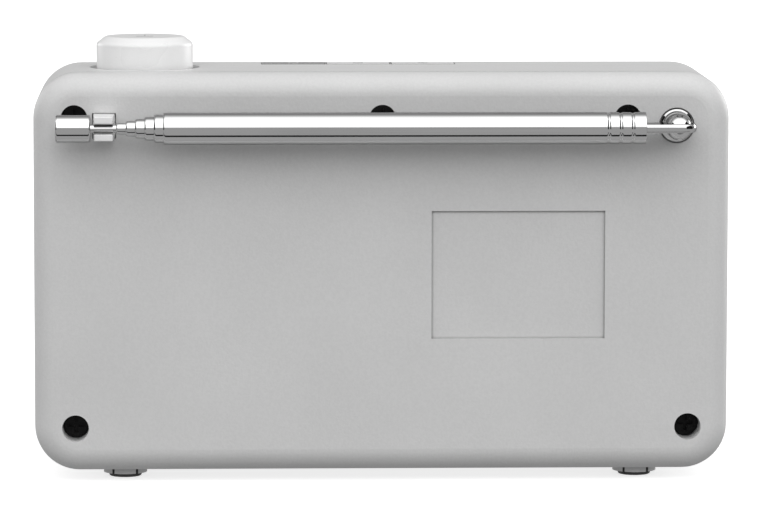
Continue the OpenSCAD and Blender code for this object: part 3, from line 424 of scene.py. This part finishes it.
# an outline with its corners rounded: each row is (radius, distance, rounding)
def roundCorners(rows, steps=5):
    points = []
    count = len(rows)
    for k, (radius, distance, rounding) in enumerate(rows):
        here = Vector((radius, distance))
        if not rounding:
            points.append(here)
            continue
        before = Vector(rows[k - 1][:2]) - here
        after = Vector(rows[(k + 1) % count][:2]) - here
        reach = min(rounding, 0.49 * before.length, 0.49 * after.length)
        start, end = here + before.normalized() * reach, here + after.normalized() * reach
        for j in range(steps + 1):
            t = j / steps
            points.append(start * (1 - t) ** 2 + here * 2 * t * (1 - t) + end * t ** 2)
    return points


# turns an outline of (radius, distance) round an axis that starts at a point and runs along a direction
def turnOutline(built, points, start, along, steps=96, closed=False):
    lie = along.to_track_quat("Z", "Y")
    rings = []
    for radius, distance in points:
        if radius < 0.0000001:
            rings.append([built.verts.new(start + along * distance)])
            continue
        rings.append([
            built.verts.new(start + lie @ Vector((radius * math.cos(2 * math.pi * k / steps),
                                                  radius * math.sin(2 * math.pi * k / steps), distance)))
            for k in range(steps)])
    pairs = list(zip(rings, rings[1:]))
    if closed:
        pairs.append((rings[-1], rings[0]))
    for low, high in pairs:
        for k in range(steps):
            corners = [low[k % len(low)], low[(k + 1) % len(low)],
                       high[(k + 1) % len(high)], high[k % len(high)]]
            unique = []
            for corner in corners:
                if corner not in unique:
                    unique.append(corner)
            if len(unique) > 2:
                built.faces.new(unique)


# joins a stack of loops with the same number of points, and closes both ends
def skinLoops(built, loops):
    rows = [[built.verts.new(point) for point in loop] for loop in loops]
    for low, high in zip(rows, rows[1:]):
        for k in range(len(low)):
            built.faces.new([low[k], low[(k + 1) % len(low)], high[(k + 1) % len(low)], high[k]])
    built.faces.new(rows[0][::-1])
    built.faces.new(rows[-1])


toRight = Vector((1, 0, 0))
upward = Vector((0, 0, 1))
turretLow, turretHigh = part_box("antenna_turret")
firstLow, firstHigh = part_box("antenna_tube_1")
antennaAxis = Vector((0, (firstLow.y + firstHigh.y) / 2, (firstLow.z + firstHigh.z) / 2))
turretX = (turretLow.x + turretHigh.x) / 2

# each mouth's rolled shoulder, the gap round the next section, the thicker foot inside the wider one,
# and the crimps round the first tube
tubeSizes = dict(roll=0.6 * mm, rollSteps=8, gap=0.12 * mm, mouthDepth=2.0 * mm,
                 footLength=3.0 * mm, footStep=0.1 * mm, footRim=0.05 * mm,
                 crimpFrom=0.25 * mm, crimpPitch=2.65 * mm, crimpWidth=0.8 * mm, crimpDepth=0.27 * mm,
                 crimpRim=0.15 * mm, crimpFloor=0.2 * mm, crimps=3)


def buildAntennaTubes(look):
    names = [f"antenna_tube_{k}" for k in range(1, 7)]
    boxes = [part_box(name) for name in names] + [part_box("antenna_rod")]
    radii = [(high.z - low.z) / 2 - (look["footStep"] if k else 0) for k, (low, high) in enumerate(boxes)]
    for k, name in enumerate(names):
        low, high = boxes[k]
        radius, inner = radii[k], radii[k + 1] + look["gap"]
        bore = inner + look["footStep"]
        tail, mouth = low.x, high.x
        rows = []
        if k == 0:
            rows.append((radius, tail, look["crimpRim"]))
            for n in range(1, look["crimps"] + 1):
                middle = tail + look["crimpFrom"] + n * look["crimpPitch"]
                half = look["crimpWidth"] / 2
                rows += [(radius, middle - half, look["crimpRim"]),
                         (radius - look["crimpDepth"], middle, look["crimpFloor"]),
                         (radius, middle + half, look["crimpRim"])]
        else:
            foot = radius + look["footStep"]
            rows += [(foot, tail, look["footRim"]), (foot, tail + look["footLength"], 0),
                     (radius, tail + look["footLength"] + look["footStep"], 0)]
        for j in range(look["rollSteps"] + 1):
            turn = math.radians(90 * j / look["rollSteps"])
            rows.append((inner + (radius - inner) * math.cos(turn),
                         mouth - look["roll"] * (1 - math.sin(turn)), 0))
        neck = mouth - look["mouthDepth"]
        rows += [(inner, neck, 0), (bore, neck, 0), (bore, tail, 0)]
        built = bmesh.new()
        turnOutline(built, roundCorners(rows), antennaAxis, toRight, closed=True)
        mesh = finishMesh(name + "_mesh", built, sharpest=40)
        addPiece(f"antennaTube{k + 1}", mesh, "chrome", f"mast_{k + 1}", name)
    return radii


tubeRadii = buildAntennaTubes(tubeSizes)
print("antenna tubes made")

# the cap's rounded rims, and the hole that the rod's end sits in
capSizes = dict(edge=0.5 * mm, bore=1.9 * mm, clear=0.02 * mm)


def buildCap(look):
    low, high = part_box("antenna_cap")
    radius = (high.z - low.z) / 2
    bore = tubeRadii[-1] + look["clear"]
    rows = [
        (bore, low.x, 0), (radius, low.x, look["edge"]), (radius, high.x, look["edge"]),
        (0, high.x, 0), (0, high.x - look["bore"], 0), (bore, high.x - look["bore"], 0),
    ]
    built = bmesh.new()
    turnOutline(built, roundCorners(rows, 8), antennaAxis, toRight, closed=True)
    addPiece("antennaCap", finishMesh("antennaCap", built, sharpest=40), "chrome", "mast_7", "antenna_cap")


buildCap(capSizes)

# the tongue is crowned across its edge, and its round end, a little short of the CAD one, turns in the
# turret's slot; a plug joins it to the first tube
tongueSizes = dict(crown=0.36 * mm, crownPower=2.4, halfThick=0.95 * mm, short=0.4 * mm,
                   layers=9, arcSteps=32, plugRadius=2.85 * mm, plugLength=9.0 * mm,
                   plugOverlap=0.01 * mm)


def buildTongue(look):
    low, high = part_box("antenna_tongue")
    endRadius = turretX - low.x - look["short"]
    halfWidth = tubeRadii[0]
    half = min(look["halfThick"], (high.z - low.z) / 2)
    squareEnd = firstLow.x
    loops = []
    for k in range(look["layers"]):
        share = 2 * k / (look["layers"] - 1) - 1
        inset = look["crown"] * (1 - math.sqrt(max(0.0, 1 - abs(share) ** look["crownPower"])))
        radius, width = endRadius - inset, halfWidth - inset
        meet = math.asin(width / radius)
        level = antennaAxis.z + half * share
        loop = []
        for j in range(look["arcSteps"] + 1):
            angle = meet + (2 * math.pi - 2 * meet) * j / look["arcSteps"]
            loop.append(Vector((turretX + radius * math.cos(angle),
                                antennaAxis.y + radius * math.sin(angle), level)))
        loop += [Vector((squareEnd, antennaAxis.y - width, level)),
                 Vector((squareEnd, antennaAxis.y + width, level))]
        loops.append(loop)
    built = bmesh.new()
    skinLoops(built, loops)
    plugStart, plugEnd = squareEnd - look["plugOverlap"], squareEnd + look["plugLength"]
    plug = [(0, plugStart), (look["plugRadius"], plugStart), (look["plugRadius"], plugEnd), (0, plugEnd)]
    turnOutline(built, plug, antennaAxis, toRight)
    mesh = finishMesh("antennaTongue", built, sharpest=38)
    addPiece("antennaTongue", mesh, "chrome", "mast_1", "antenna_tongue")


buildTongue(tongueSizes)
print("tongue and cap made")

# the knob's bevel and shallow dish, its skirt inside the ring, and the hollow and socket underneath
knobSizes = dict(bevelIn=2.0 * mm, bevelDown=1.6 * mm, soften=0.5 * mm, skirt=0.25 * mm, dish=0.025 * mm,
                 dishRim=1.2 * mm, dishSoften=2.0 * mm, ringClear=0.6 * mm, ringInset=1.6 * mm,
                 skirtSoften=0.1 * mm, shell=1.6 * mm, hollow=0.55 * mm, shaftRadius=3.0 * mm,
                 shaftSeat=5.2 * mm, shaftGap=0.02 * mm)


def buildKnob(look):
    low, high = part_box("tuning_knob")
    middle = Vector(((low.x + high.x) / 2, (low.y + high.y) / 2, 0))
    radius = (high.x - low.x) / 2
    top = high.z
    ringLow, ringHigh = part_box("knob_ring")
    sideLow = ringHigh.z + look["ringClear"]
    skirtRadius = (ringHigh.x - ringLow.x) / 2 - look["ringInset"]
    skirtInside = skirtRadius - look["hollow"] * 2
    shaftRadius = look["shaftRadius"]
    socketOutside = shaftRadius + look["hollow"]
    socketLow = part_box("encoder_shaft")[0].z + look["shaftSeat"]
    dishLevel, roof = top - look["dish"], top - look["shell"]
    rows = [
        (0, dishLevel, 0), (radius - look["bevelIn"] - look["dishRim"], dishLevel, look["dishSoften"]),
        (radius - look["bevelIn"], top, look["soften"]),
        (radius, top - look["bevelDown"], look["soften"]), (radius, sideLow, look["skirt"]),
        (skirtRadius, sideLow, 0), (skirtRadius, low.z, look["skirtSoften"]), (skirtInside, low.z, 0),
        (skirtInside, roof, 0), (socketOutside, roof, 0), (socketOutside, socketLow, 0),
        (shaftRadius, socketLow, 0), (shaftRadius, roof - look["shaftGap"], 0),
        (0, roof - look["shaftGap"], 0),
    ]
    built = bmesh.new()
    turnOutline(built, roundCorners(rows, 8), middle, upward, 160)
    mesh = finishMesh("knobShell", built, sharpest=30)
    addPiece("knobShell", mesh, "white_plastic", "knob", "tuning_knob")
    return middle, dishLevel


knobMiddle, knobFace = buildKnob(knobSizes)


# flat print of thin bars, rings and arcs, in millimetres on a face that looks along the lift direction
def printMarks(name, shapes, middle, right, up, lift, look, body, thick=0.02 * mm):
    built = bmesh.new()
    for shape in shapes:
        if shape[0] == "bar":
            _, x, y, w, h = shape
            outer = [(x - w / 2, y - h / 2), (x + w / 2, y - h / 2),
                     (x + w / 2, y + h / 2), (x - w / 2, y + h / 2)]
            loops = [[middle + right * (a * mm) + up * (b * mm) + lift * z for a, b in outer]
                     for z in (0, thick)]
            skinLoops(built, loops)
        else:
            _, x, y, outerR, innerR, fromAngle, toAngle = shape
            steps = 40
            arc = [math.radians(fromAngle + (toAngle - fromAngle) * k / steps) for k in range(steps + 1)]
            for a, b in zip(arc, arc[1:]):
                corners = [(x + r * math.cos(t), y + r * math.sin(t))
                           for r, t in ((innerR, a), (outerR, a), (outerR, b), (innerR, b))]
                loops = [[middle + right * (p * mm) + up * (q * mm) + lift * z for p, q in corners]
                         for z in (0, thick)]
                skinLoops(built, loops)
    return addPiece(name, finishMesh(name, built, sharpest=10), look, body)


# a plain arc with a short bar on the knob, and plain signs on the keys;
# each print is sunk a hair into its face
printSunk = dict(knob=0.002 * mm, key=0.004 * mm)
dialMarks = [("arc", 0, 0, 2.4, 2.1, 215, 325), ("bar", 0, 1.7, 0.35, 1.0)]
printMarks("knobMarks", dialMarks, knobMiddle + upward * (knobFace - printSunk["knob"]),
           Vector((-1, 0, 0)), Vector((0, -1, 0)), upward, "print_grey", "knob")

keySigns = {
    "power_key": ("print_white", [("arc", 0, 0, 1.2, 0.9, 125, 415), ("bar", 0, 0.85, 0.3, 1.1)]),
    "menu_key": ("print_pale", [("bar", 0, y, 2.2, 0.3) for y in (0.8, 0, -0.8)]),
    "preset_key": ("print_pale", [("arc", 0, 0, 1.15, 0.85, 0, 360), ("arc", 0, 0, 0.35, 0.0, 0, 360)]),
}
for key, (ink, shapes) in keySigns.items():
    keyLow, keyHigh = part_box(key)
    centre = Vector(((keyLow.x + keyHigh.x) / 2, (keyLow.y + keyHigh.y) / 2, keyHigh.z - printSunk["key"]))
    printMarks(key + "Sign", shapes, centre, toRight, Vector((0, 1, 0)), upward, ink, key)
print("knob and signs made")

# the clip's softened edges, its width at the root and the tips, half the gap that the rod lies in,
# the thickness of each prong, how much shorter the lower one is, and the plate behind them
clipSizes = dict(bevel=0.22 * mm, rootWidth=5.0 * mm, tipWidth=4.1 * mm, seat=1.15 * mm,
                 upperProng=1.6 * mm, lowerProng=1.5 * mm, lowerShort=0.5 * mm, plate=1.2 * mm)


def buildClip(look):
    low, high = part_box("antenna_clip")
    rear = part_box("rear_cover")[1].y
    middle = (low.x + high.x) / 2
    upperTip = high.y
    lowerTip = upperTip - look["lowerShort"]
    inner, seat = low.y, look["seat"]
    upperTop, lowerLow = antennaAxis.z + seat + look["upperProng"], antennaAxis.z - seat - look["lowerProng"]
    gapLow, gapHigh = antennaAxis.z - seat, antennaAxis.z + seat
    side = [(inner, lowerLow), (lowerTip, lowerLow), (lowerTip, gapLow), (rear, gapLow),
            (rear, gapHigh), (upperTip, gapHigh), (upperTip, upperTop), (inner, upperTop)]
    built = bmesh.new()
    loops = []
    for sign in (-1, 1):
        loop = []
        for y, z in side:
            share = min(1.0, max(0.0, (y - rear) / (upperTip - rear)))
            width = look["rootWidth"] + (look["tipWidth"] - look["rootWidth"]) * share
            loop.append(Vector((middle + sign * width / 2, y, z)))
        loops.append(loop)
    skinLoops(built, loops)
    base = [(-1, low.z), (1, low.z), (1, high.z), (-1, high.z)]
    baseLoops = [[Vector((middle + sign * look["rootWidth"] / 2, y, z)) for sign, z in base]
                 for y in (inner, inner + look["plate"])]
    skinLoops(built, baseLoops)
    mesh = finishMesh("antennaClip", built, sharpest=30)
    clip = addPiece("antennaClip", mesh, "white_plastic", "case", "antenna_clip")
    soften = clip.modifiers.new("soften", "BEVEL")
    soften.width = look["bevel"]
    soften.segments = 3
    soften.limit_method = "ANGLE"
    soften.angle_limit = math.radians(40)


buildClip(clipSizes)

# rubber pads with a rounded rim and a shallow ring moulded in the underside
padSizes = dict(radius=3.65 * mm, rim=0.5 * mm, ringFrom=1.7 * mm, ringWidth=0.5 * mm,
                ringDepth=0.25 * mm, ringSoften=0.1 * mm)


def buildPads(look):
    low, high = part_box("rubber_feet")
    radius, soft = look["radius"], look["ringSoften"]
    ringIn, ringOut = look["ringFrom"], look["ringFrom"] + look["ringWidth"]
    ringTop = low.z + look["ringDepth"]
    rows = [
        (0, low.z, 0), (ringIn, low.z, soft), (ringIn, ringTop, soft), (ringOut, ringTop, soft),
        (ringOut, low.z, soft), (radius, low.z, look["rim"]), (radius, high.z, 0), (0, high.z, 0),
    ]
    built = bmesh.new()
    for x in (low.x + radius, high.x - radius):
        for y in (low.y + radius, high.y - radius):
            turnOutline(built, roundCorners(rows), Vector((x, y, 0)), upward, 64)
    addPiece("rubberPads", finishMesh("rubberPads", built, sharpest=40), "rubber", "case", "rubber_feet")


buildPads(padSizes)

# the screen's digits and signs, in millimetres from its middle; each bar is (across, up, width, height)
screenSizes = dict(digitHeight=11.0, digitWidth=6.2, bar=1.25, gap=9.2, endGap=0.62, joinGap=0.95,
                   colonRoom=0.9, colonAt=(3.6, -0.6), dot=1.1, rise=1.5, thick=0.03 * mm)
segmentsOf = {"0": "abcdef", "1": "bc", "2": "abged", "4": "fgbc"}
scaleLines = [("bar", 0, -8.4, 35, 0.3), ("bar", -8, -11.4, 19, 1.0)]
batterySign = [("bar", 14.6, 12, 4.2, 0.3), ("bar", 14.6, 9.9, 4.2, 0.3),
               ("bar", 12.5, 10.95, 0.3, 2.4), ("bar", 16.7, 10.95, 0.3, 2.4),
               ("bar", 17.15, 10.95, 0.5, 0.9), ("bar", 13.7, 10.95, 1.4, 1.3)]


def digitBars(digit, x, y, look):
    w, h, t = look["digitWidth"], look["digitHeight"], look["bar"]
    across, upright = w - 2 * t * look["endGap"], h / 2 - t * look["joinGap"]
    places = {"a": (x, y + h / 2 - t / 2, across, t), "g": (x, y, across, t),
              "d": (x, y - h / 2 + t / 2, across, t),
              "b": (x + w / 2 - t / 2, y + h / 4, t, upright),
              "c": (x + w / 2 - t / 2, y - h / 4, t, upright),
              "f": (x - w / 2 + t / 2, y + h / 4, t, upright),
              "e": (x - w / 2 + t / 2, y - h / 4, t, upright)}
    return [("bar",) + places[name] for name in segmentsOf[digit]]


def buildScreenMarks(look):
    low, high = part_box("display_module")
    middle = Vector(((low.x + high.x) / 2, low.y, (low.z + high.z) / 2))
    shapes = []
    for k, digit in enumerate("1024"):
        aside = look["colonRoom"] if k > 1 else -look["colonRoom"]
        shapes += digitBars(digit, (k - 1.5) * look["gap"] + aside, look["rise"], look)
    shapes += [("bar", 0, y, look["dot"], look["dot"]) for y in look["colonAt"]]
    for k in range(5):
        shapes.append(("bar", -16 + 1.7 * k, 11.2 + 0.35 * k, 1.0, 1.0 + 0.7 * k))
    shapes += scaleLines[:1] + batterySign + scaleLines[1:]
    printMarks("screenDigits", shapes, middle, toRight, upward, Vector((0, -1, 0)),
               "screen_ink", "case", look["thick"])


buildScreenMarks(screenSizes)
print("clip and screen marks made")

cameraAt = dict(place=Vector((38.34, 1093.15, 165.32)) * mm, aim=Vector((0.03, 8.75, 49.82)) * mm,
                lens=231.6, sensor=36.0, roll=0.0013)


def makeCamera(look):
    data = bpy.data.cameras.new("camera")
    data.lens = look["lens"]
    data.sensor_width = look["sensor"]
    data.clip_start = 0.01
    data.clip_end = 20.0
    camera = bpy.data.objects.new("camera", data)
    bpy.context.scene.collection.objects.link(camera)
    camera.location = look["place"]
    turn = (look["aim"] - look["place"]).to_track_quat("-Z", "Y")
    camera.rotation_mode = "QUATERNION"
    camera.rotation_quaternion = turn @ Matrix.Rotation(look["roll"], 3, "Z").to_quaternion()
    bpy.context.scene.camera = camera


makeCamera(cameraAt)
print("camera placed")


def showEmission(tree, colour, strength):
    glow = addNode(tree, "Emission")
    feed(tree, glow.inputs["Color"], colour)
    feed(tree, glow.inputs["Strength"], strength)
    return glow.outputs["Emission"]


# the light tent, by angle in degrees from the rear horizon, over the top, to the front horizon
tentLight = [(-90, 0.30), (-12, 0.30), (10, 0.32), (15, 1.2), (30, 1.75), (60, 1.65), (72, 1.35), (88, 1.2),
             (98, 0.85), (108, 0.45), (125, 0.26), (138, 0.24), (165, 0.2), (180, 0.18)]
# the ramp holds half of each level, and these strengths bring it back
tentStrength = dict(soft=2.0, mirrors=2.6)


def makeTent():
    world = bpy.data.worlds.new("lightTent")
    bpy.context.scene.world = world
    world.use_nodes = True
    tree = world.node_tree
    tree.nodes.clear()
    toward = addNode(tree, "SeparateXYZ")
    tree.links.new(addNode(tree, "TexCoord").outputs["Generated"], toward.inputs["Vector"])
    angle = maths(tree, "ARCTAN2", toward.outputs["Z"], toward.outputs["Y"])
    place = remap(tree, angle, math.radians(-90), math.radians(180))
    ramp = addNode(tree, "ValToRGB")
    tree.links.new(place, ramp.inputs["Fac"])
    stops = ramp.color_ramp.elements
    while len(stops) > 1:
        stops.remove(stops[-1])
    for degrees, level in tentLight:
        stop = stops.new((degrees + 90) / 270)
        stop.color = grey(level / 2)
    stops.remove(stops[0])
    # the tent is darker toward its two ends, and mirrors see it a little brighter than soft surfaces do
    ends = maths(tree, "MULTIPLY", remap(tree, toward.outputs["X"], 0.5, 0.95, 1.0, 0.65),
                 remap(tree, toward.outputs["X"], -0.95, -0.5, 0.8, 1.0))
    gloss = remap(tree, addNode(tree, "LightPath").outputs["Is Glossy Ray"], 0.0, 1.0,
                  tentStrength["soft"], tentStrength["mirrors"])
    shaped = showEmission(tree, ramp.outputs["Color"], maths(tree, "MULTIPLY", ends, gloss))
    plain = showEmission(tree, grey(1.0), 1.0)
    mix = addNode(tree, "MixShader")
    tree.links.new(addNode(tree, "LightPath").outputs["Is Camera Ray"], mix.inputs["Fac"])
    tree.links.new(shaped, mix.inputs[1])
    tree.links.new(plain, mix.inputs[2])
    out = addNode(tree, "OutputWorld")
    tree.links.new(mix.outputs[0], out.inputs["Surface"])


makeTent()


def flatSheet(name, x, y, z, width, length):
    mesh = bpy.data.meshes.new(name)
    corners = [(x - width / 2, y - length / 2, z), (x + width / 2, y - length / 2, z),
               (x + width / 2, y + length / 2, z), (x - width / 2, y + length / 2, z)]
    mesh.from_pydata(corners, [], [(0, 1, 2, 3)])
    sheet = bpy.data.objects.new(name, mesh)
    bpy.context.scene.collection.objects.link(sheet)
    return sheet


def makeFloor():
    floor = flatSheet("floor", 0, 0, 0, 8.0, 8.0)
    material, tree, shader = startMaterial("paleFloor")
    mottle = noise(tree, objectPoint(tree), 30.0)
    tree.links.new(blendColour(tree, mottle, grey(0.6), grey(0.63)), shader.inputs["Base Color"])
    shader.inputs["Roughness"].default_value = 0.9
    shader.inputs["Emission Color"].default_value = grey(1.0)
    shader.inputs["Emission Strength"].default_value = 0.7
    # the sweep gives back less light than it shows
    gloss = addNode(tree, "LightPath").outputs["Is Glossy Ray"]
    dim = showEmission(tree, grey(1.0), remap(tree, gloss, 0.0, 1.0, 0.30, 0.42))
    mix = addNode(tree, "MixShader")
    tree.links.new(addNode(tree, "LightPath").outputs["Is Camera Ray"], mix.inputs["Fac"])
    tree.links.new(dim, mix.inputs[1])
    tree.links.new(shader.outputs["BSDF"], mix.inputs[2])
    tree.links.new(mix.outputs[0], tree.nodes["Material Output"].inputs["Surface"])
    floor.data.materials.append(material)


makeFloor()
print("light tent and floor made")


# soft boxes at the front, for the views from that side; sizes and distances in metres
softBoxes = dict(keyFront=dict(turn=-50, lift=10, far=2.0, wide=1.1, power=15),
                 fillFront=dict(turn=45, lift=8, far=2.0, wide=1.1, power=8))
softBoxAim = Vector((0, 0, 0.05))


def makeSoftBox(name, look):
    data = bpy.data.lights.new(name, "AREA")
    data.shape = "SQUARE"
    data.size = look["wide"]
    data.energy = look["power"]
    box = bpy.data.objects.new(name, data)
    bpy.context.scene.collection.objects.link(box)
    turn, lift = math.radians(look["turn"]), math.radians(look["lift"])
    toBox = Vector((math.sin(turn) * math.cos(lift), -math.cos(turn) * math.cos(lift), math.sin(lift)))
    box.location = toBox * look["far"]
    box.rotation_euler = (softBoxAim - box.location).to_track_quat("-Z", "Y").to_euler()
    box.visible_camera = False


for name, look in softBoxes.items():
    makeSoftBox(name, look)


# dark cards that only reflections see: one low along the rear, and one at each side
cards = dict(rearCard=dict(at=(0, 0.088, 0.0005), size=(0.5, 0.03, 0)),
             leftFlag=dict(at=(1.0, 0.5, 0.45), size=(0, 1.1, 0.9)),
             rightFlag=dict(at=(-1.0, 0.5, 0.45), size=(0, 1.1, 0.9)))


def makeCard(name, look):
    width, length, height = look["size"]
    centre = Vector(look["at"])
    if height:
        across, along = Vector((0, length / 2, 0)), Vector((0, 0, height / 2))
    else:
        across, along = Vector((width / 2, 0, 0)), Vector((0, length / 2, 0))
    mesh = bpy.data.meshes.new(name)
    mesh.from_pydata([centre - across - along, centre + across - along, centre + across + along,
                      centre - across + along], [], [(0, 1, 2, 3)])
    card = bpy.data.objects.new(name, mesh)
    bpy.context.scene.collection.objects.link(card)
    material, tree, shader = startMaterial(name + "Felt")
    felt = noise(tree, objectPoint(tree), 400.0)
    tree.links.new(blendColour(tree, felt, grey(0.01), grey(0.02)), shader.inputs["Base Color"])
    shader.inputs["Roughness"].default_value = 1.0
    shader.inputs["Specular IOR Level"].default_value = 0.0
    mesh.materials.append(material)
    card.visible_camera = card.visible_diffuse = card.visible_shadow = card.visible_transmission = False


for name, look in cards.items():
    makeCard(name, look)
print("soft boxes and cards made")

bpy.context.scene.cycles.caustics_reflective = False
bpy.context.scene.view_settings.view_transform = "Standard"
